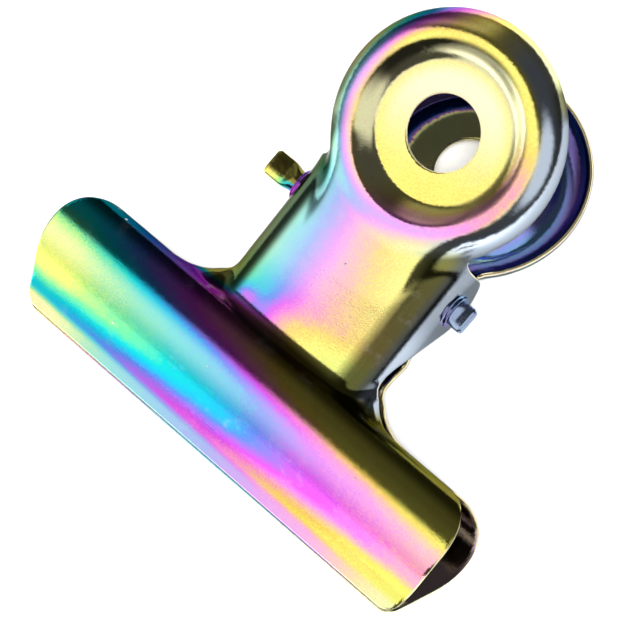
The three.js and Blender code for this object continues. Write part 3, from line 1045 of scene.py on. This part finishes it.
def collar(name, side, phase, steel):
    """One closed ring on the front plate's ear at the side of +X (1) or -X (-1)."""
    profile = collar_profile()
    count, size = len(profile), RING_POINTS
    turn = full_turn(size)
    width = float(neck_half_width(np.array(0.0), FRONT_WIDTH))
    points = np.array([
        np.stack([np.full(size, side * (width + h)), r * np.cos(turn), r * np.sin(turn)], 1)
        for r, h in profile]).reshape(-1, 3)
    i, j = np.meshgrid(np.arange(count), np.arange(size), indexing="ij")
    a, b = i * size + j, i * size + (j + 1) % size
    c, d = (i + 1) % count * size + (j + 1) % size, (i + 1) % count * size + j
    faces = np.stack([a, b, c, d], -1).reshape(-1, 4)
    if side < 0:
        faces = faces[:, ::-1]
    film = phase - 0.03 * points[:, 1]
    # Both collars are darkened all over by painted shade.
    pale, bare, deep = (np.full(len(film), value) for value in (0.0, steel, 0.7))
    ring = mesh_object(name, to_row(points), faces, film=film, pale=pale, bare=bare, deep=deep)
    smooth_by_angle(ring, 50)
    ring.data.materials.append(front_metal)
    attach(ring, "front")


collar("pin_collar_right", 1, phase=0.5, steel=0.5)
collar("pin_collar_left", -1, phase=0.6, steel=0.0)

# ---- torsion spring ----
WIRE_RADIUS, COIL_RADIUS, COIL_PITCH, FULL_TURNS, LEG_LENGTH = 0.55, 2.35, 1.25, 7, 7.4
LEG_SPREAD = math.radians(21)
TURN_POINTS, LEG_POINTS, WIRE_POINTS = 48, 16, 20


def spring_path():
    start = math.pi / 2 + LEG_SPREAD
    turning = FULL_TURNS * 2 * math.pi + math.pi - 2 * LEG_SPREAD
    width = COIL_PITCH * turning / (2 * math.pi)
    part = np.linspace(0, 1, TURN_POINTS * (FULL_TURNS + 1))
    angle = start + turning * part
    across = width * (0.5 - part)
    coil = np.stack([across, COIL_RADIUS * np.cos(angle), COIL_RADIUS * np.sin(angle)], 1)
    reach = np.linspace(LEG_LENGTH, 0.3, LEG_POINTS)[:, None]
    up = coil[0] + reach * np.array([0, math.cos(LEG_SPREAD), math.sin(LEG_SPREAD)])
    down = coil[-1] + reach[::-1] * np.array([0, math.cos(LEG_SPREAD), -math.sin(LEG_SPREAD)])
    return np.vstack([up, coil, down])


def swept(path, radius, size):
    """Rings of points round a path, a little smaller at its two ends."""
    along = unit(np.gradient(path, axis=0))
    side = unit(np.cross(along, (1.0, 0, 0)))
    other = np.cross(along, side)
    turn = full_turn(size)[None, :, None]
    scale = np.full(len(path), radius)
    scale[[0, -1]] = 0.8 * radius
    ring = side[:, None] * np.cos(turn) + other[:, None] * np.sin(turn)
    return path[:, None] + scale[:, None, None] * ring


def drawn_wire():
    material, nodes = new_material("drawn_spring_wire")
    at = nodes.place()
    stain = nodes.noise(at, STAIN_SCALE, 4.0)
    lines = nodes.noise(at, LINES_SCALE, 3.0)
    shader = nodes.add(
        "ShaderNodeBsdfPrincipled", Base__Color=nodes.ramp(stain, WIRE), Metallic=1.0,
        Roughness=nodes.remap(stain, 0.3, 0.8, 0.22, 0.38), Specular__Tint=EDGE_TINT,
        Normal=nodes.bump(0.3, 0.00002, lines))
    nodes.add("ShaderNodeOutputMaterial", Surface=shader.outputs[0])
    return material


spring = lofted("torsion_spring_wire", swept(spring_path(), WIRE_RADIUS, WIRE_POINTS))
smooth_by_angle(spring, 50)
spring.data.materials.append(drawn_wire())
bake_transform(spring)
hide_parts("torsion_spring")

# ---- floor ----
FLOOR_REACH, FLOOR_DROP = 3.0, 0.00002


def plain_floor():
    mesh = bpy.data.meshes.new("floor")
    corners = (-1, -1), (1, -1), (1, 1), (-1, 1)
    points = [(x * FLOOR_REACH, y * FLOOR_REACH, 0) for x, y in corners]
    mesh.from_pydata(points, [], [(0, 1, 2, 3)])
    obj = linked("floor", mesh)
    obj.location.z = -FLOOR_DROP
    material, nodes = new_material("white_sheet")
    tooth = nodes.noise(nodes.place(), TOOTH_SCALE, 2.0)
    shader = nodes.add(
        "ShaderNodeBsdfPrincipled", Base__Color=nodes.ramp(tooth, PAPER), Roughness=0.9,
        Specular__IOR__Level=0.1)
    nodes.add("ShaderNodeOutputMaterial", Surface=shader.outputs[0])
    mesh.materials.append(material)


plain_floor()

# ---- studio light ----
# Reflections see one big soft source behind the jaw, a smaller panel high on the right, a weak
# fill at the left and a dim surround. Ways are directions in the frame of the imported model.
SOFTBOX_EDGE = direction_in_row((0.147, 0.976, 0.158))
SIDE_PANEL = Vector((0.744, -0.106, 0.659))
PANEL_LEVEL, SURROUND_LEVEL = 0.92, 0.075


def studio_world():
    world = bpy.data.worlds.new("studio")
    world.use_nodes = True
    bpy.context.scene.world = world
    nodes = Nodes(world.node_tree)
    way = nodes.add("ShaderNodeTexCoord").outputs["Generated"]
    x, y, z = nodes.add("ShaderNodeSeparateXYZ", Vector=way).outputs
    inside = nodes.dot(way, -SOFTBOX_EDGE)

    # The softbox: its upper edge, its right and left ends, and its brightness across and low down.
    lower = nodes.math("MULTIPLY", nodes.remap(x, -0.1, 0.9), 0.13)
    level = nodes.remap(nodes.math("ADD", inside, lower), -0.03, -0.004)
    narrower = nodes.math("MULTIPLY", nodes.remap(y, -0.65, -1.0), 0.42)
    right_end = nodes.remap(nodes.math("ADD", x, narrower), 0.46, 0.34)
    left_end = nodes.remap(x, -0.96, -0.66, 0.12, 1.0)
    across = nodes.remap(inside, 0.35, 0.95, 1.16, 0.98)
    low_down = nodes.remap(z, -0.10, 0.08, 0.82, 1.0)
    for share in (right_end, left_end, across, low_down):
        level = nodes.math("MULTIPLY", level, share)

    fill = nodes.math("MULTIPLY", nodes.remap(x, -0.34, -0.55), nodes.remap(y, -0.1, 0.3))
    fill = nodes.math("MULTIPLY", fill, nodes.remap(z, 0.1, 0.4, 0.25, 0.42))
    panel = nodes.remap(nodes.dot(way, SIDE_PANEL), 0.85, 0.94, 0.0, PANEL_LEVEL)
    level = nodes.math("ADD", level, panel)
    level = nodes.math("ADD", level, nodes.math("ADD", fill, SURROUND_LEVEL))
    background = nodes.add("ShaderNodeBackground", Color=(1, 1, 1, 1), Strength=level)
    nodes.add("ShaderNodeOutputWorld", Surface=background.outputs[0])


studio_world()


def soft_light(name, where, size, power):
    """A square light aimed at the clip. It lights surfaces but shows in no reflection."""
    data = bpy.data.lights.new(name, "AREA")
    data.shape = "SQUARE"
    data.size = size
    data.energy = power
    lamp = linked(name, data)
    lamp.location = where
    lamp.rotation_euler = (-Vector(where)).to_track_quat("-Z", "Y").to_euler()
    lamp.visible_glossy = False


soft_light("key_softbox", (0.30, -0.21, 0.95), 0.3, 13.0)
soft_light("overhead_softbox", (-0.15, -0.2, 1.0), 1.5, 9.0)
soft_light("left_fill", (-1.1, 0.2, 0.7), 1.2, 6.0)
soft_light("right_fill", (1.1, 0.3, 0.7), 1.2, 6.0)

# ---- camera at the photo's angle, placed in the clip frame ----
SENSOR, FOCAL, CLIP_START = 36.0, 176.43, 0.01
EYE = (92.47, -13.41, 298.58)
FORWARD, UP = (-0.2984, 0.013, -0.9544), (-0.6149, 0.7621, 0.2026)

data = bpy.data.cameras.new("camera")
data.sensor_width = SENSOR
data.lens = FOCAL
data.clip_start = CLIP_START
camera = linked("camera", data)
forward = direction_in_row(FORWARD)
right = forward.cross(direction_in_row(UP)).normalized()
turn = Matrix((right, right.cross(forward), -forward)).transposed()
camera.matrix_world = Matrix.Translation(Vector(to_row(EYE))) @ turn.to_4x4()
bpy.context.scene.camera = camera
bpy.context.scene.view_settings.view_transform = "Standard"
